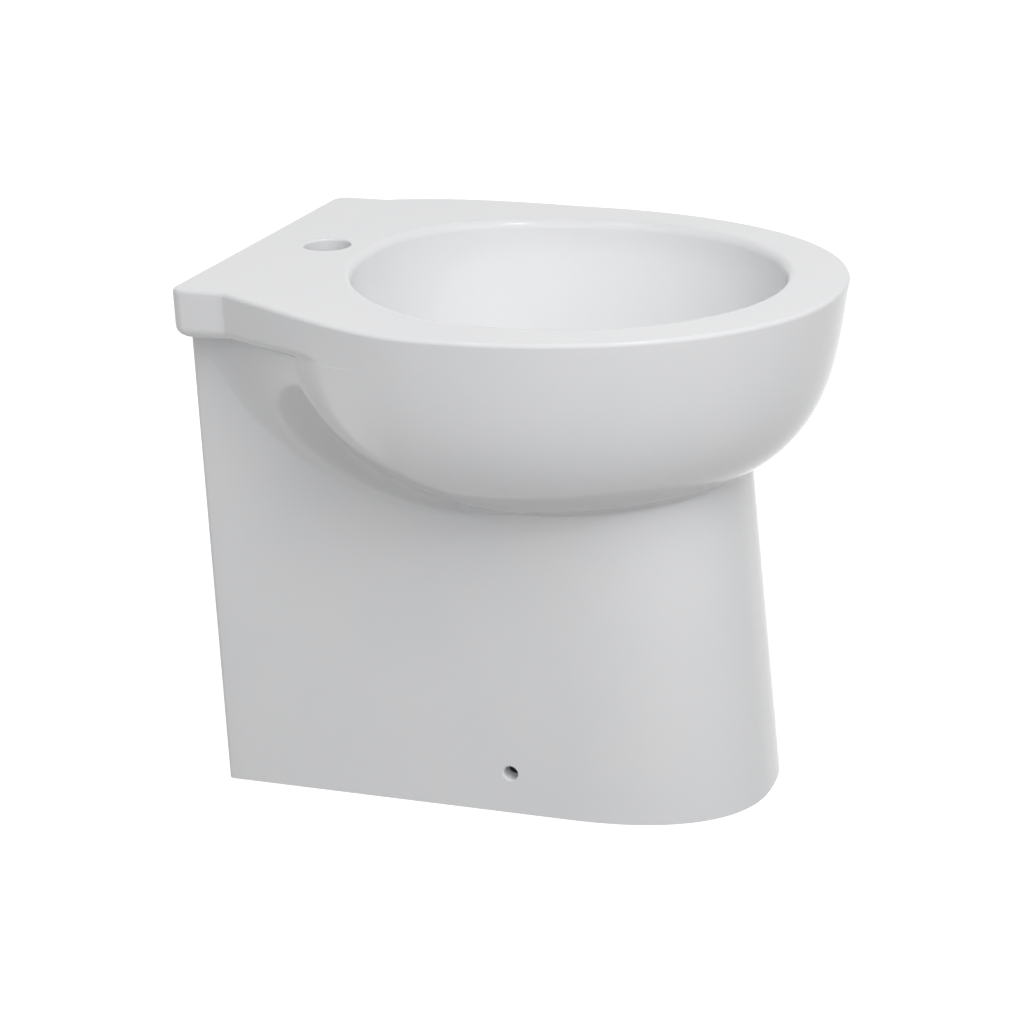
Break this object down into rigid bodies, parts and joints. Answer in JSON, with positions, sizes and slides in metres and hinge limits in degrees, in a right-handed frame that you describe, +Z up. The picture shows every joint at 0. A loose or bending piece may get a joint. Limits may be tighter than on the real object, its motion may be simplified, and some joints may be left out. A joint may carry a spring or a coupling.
{
  "type": "bidet",
  "caption": "Floor-standing back-to-wall ceramic bidet with a tap hole, undercut bowl, push-open waste, bottle trap and floor brackets.",
  "frame": {"origin": "on the floor under the middle of the bounding box", "axes": "+Z up, the wall plane at the greatest Y, the front of the bowl towards -Y, +X to the right seen from the front"},
  "size_m": [0.375, 0.45, 0.4],
  "materials": {
    "white_glaze": "glossy glaze",
    "black_rubber": "matte",
    "chromed_brass": "polished chrome",
    "plain_brass": "turned",
    "white_plastic": "moulded polypropylene",
    "nylon": "moulded charcoal nylon"
  },
  "bodies": {
    "pan": {"ceramic_body": "white_glaze", "flange_seal": "black_rubber", "waste_body": "chromed_brass", "cone_washer": "black_rubber", "slip_washer": "white_plastic", "back_nut": "plain_brass", "click_cartridge": "white_plastic", "trap_nut": "white_plastic", "trap_washer": "black_rubber", "dip_tube": "white_plastic", "neck_nut": "white_plastic", "neck_washer": "black_rubber", "trap_bottle": "white_plastic", "trap_cup": "white_plastic", "cup_seal": "black_rubber", "outlet_nut": "white_plastic", "outlet_washer": "black_rubber", "outlet_pipe": "white_plastic", "bracket_left": "nylon", "bracket_right": "nylon"},
    "plug": {"plug_cap": "chromed_brass", "plug_seal": "black_rubber", "plug_stem": "plain_brass"}
  },
  "joints": [
    {"name": "plug_lift", "type": "slide", "parent": "pan", "child": "plug", "axis": [0, 0, 1], "range_m": [0, 0.008]}
  ]
}
